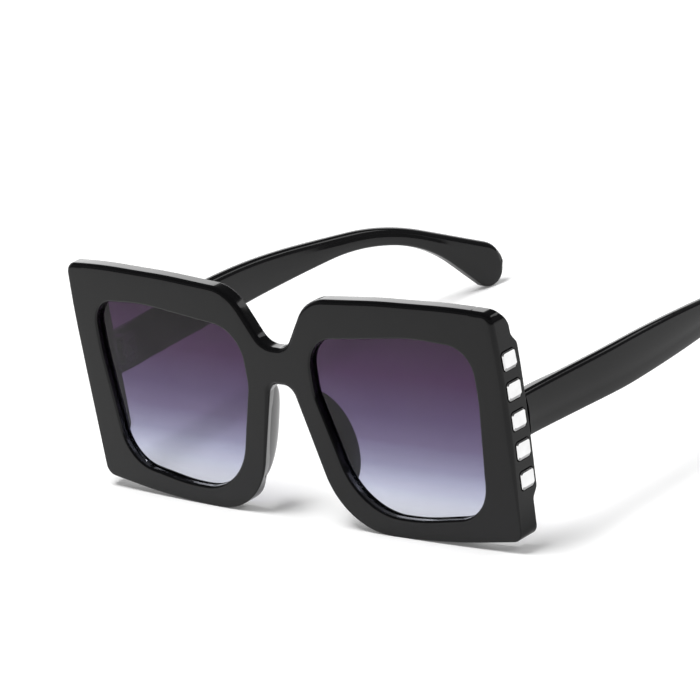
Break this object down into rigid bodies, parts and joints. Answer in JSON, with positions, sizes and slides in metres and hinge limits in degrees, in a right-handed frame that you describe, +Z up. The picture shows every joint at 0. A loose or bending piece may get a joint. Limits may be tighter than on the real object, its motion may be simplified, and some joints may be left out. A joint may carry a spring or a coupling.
{
  "type": "square sunglasses",
  "caption": "Square black sunglasses lying open, with gradient lenses, a column of square crystals down each outer edge and temples that fold on metal hinges.",
  "frame": {"origin": "centre of the bottom of the whole box, on the surface that the rim bottoms and temple tips stand on", "axes": "+Z up; +Y from the lenses back towards the temple tips; +X to the wearer's left; the wearer looks along -Y"},
  "size_m": [0.1494, 0.1506, 0.0625],
  "materials": {
    "gloss_black": "polished black acetate",
    "gradient_tint": "polished, dark purple-grey at the top fading to pale at the bottom",
    "crystal": "clear, cut with a flat table and bevelled edges",
    "hinge_steel": "black plated, fine satin"
  },
  "bodies": {
    "front": {"front_frame": "gloss_black", "left_lens": "gradient_tint", "right_lens": "gradient_tint", "left_crystal_1": "crystal", "left_crystal_2": "crystal", "left_crystal_3": "crystal", "left_crystal_4": "crystal", "left_crystal_5": "crystal", "right_crystal_1": "crystal", "right_crystal_2": "crystal", "right_crystal_3": "crystal", "right_crystal_4": "crystal", "right_crystal_5": "crystal", "left_nose_pad": "gloss_black", "right_nose_pad": "gloss_black", "left_front_leaf": "hinge_steel", "right_front_leaf": "hinge_steel", "left_hinge_screw": "hinge_steel", "right_hinge_screw": "hinge_steel"},
    "left_temple": {"left_temple": "gloss_black", "left_core_wire": "hinge_steel", "left_temple_leaf": "hinge_steel"},
    "right_temple": {"right_temple": "gloss_black", "right_core_wire": "hinge_steel", "right_temple_leaf": "hinge_steel"}
  },
  "joints": [
    {"name": "left_temple_fold", "type": "hinge", "parent": "front", "child": "left_temple", "pos_m": [0.06695, -0.06312, 0.034], "axis": [0, 0.0413, 0.9991], "range_deg": [0, 86]},
    {"name": "right_temple_fold", "type": "hinge", "parent": "front", "child": "right_temple", "pos_m": [-0.06695, -0.06312, 0.034], "axis": [0, -0.0413, -0.9991], "range_deg": [0, 75]}
  ]
}
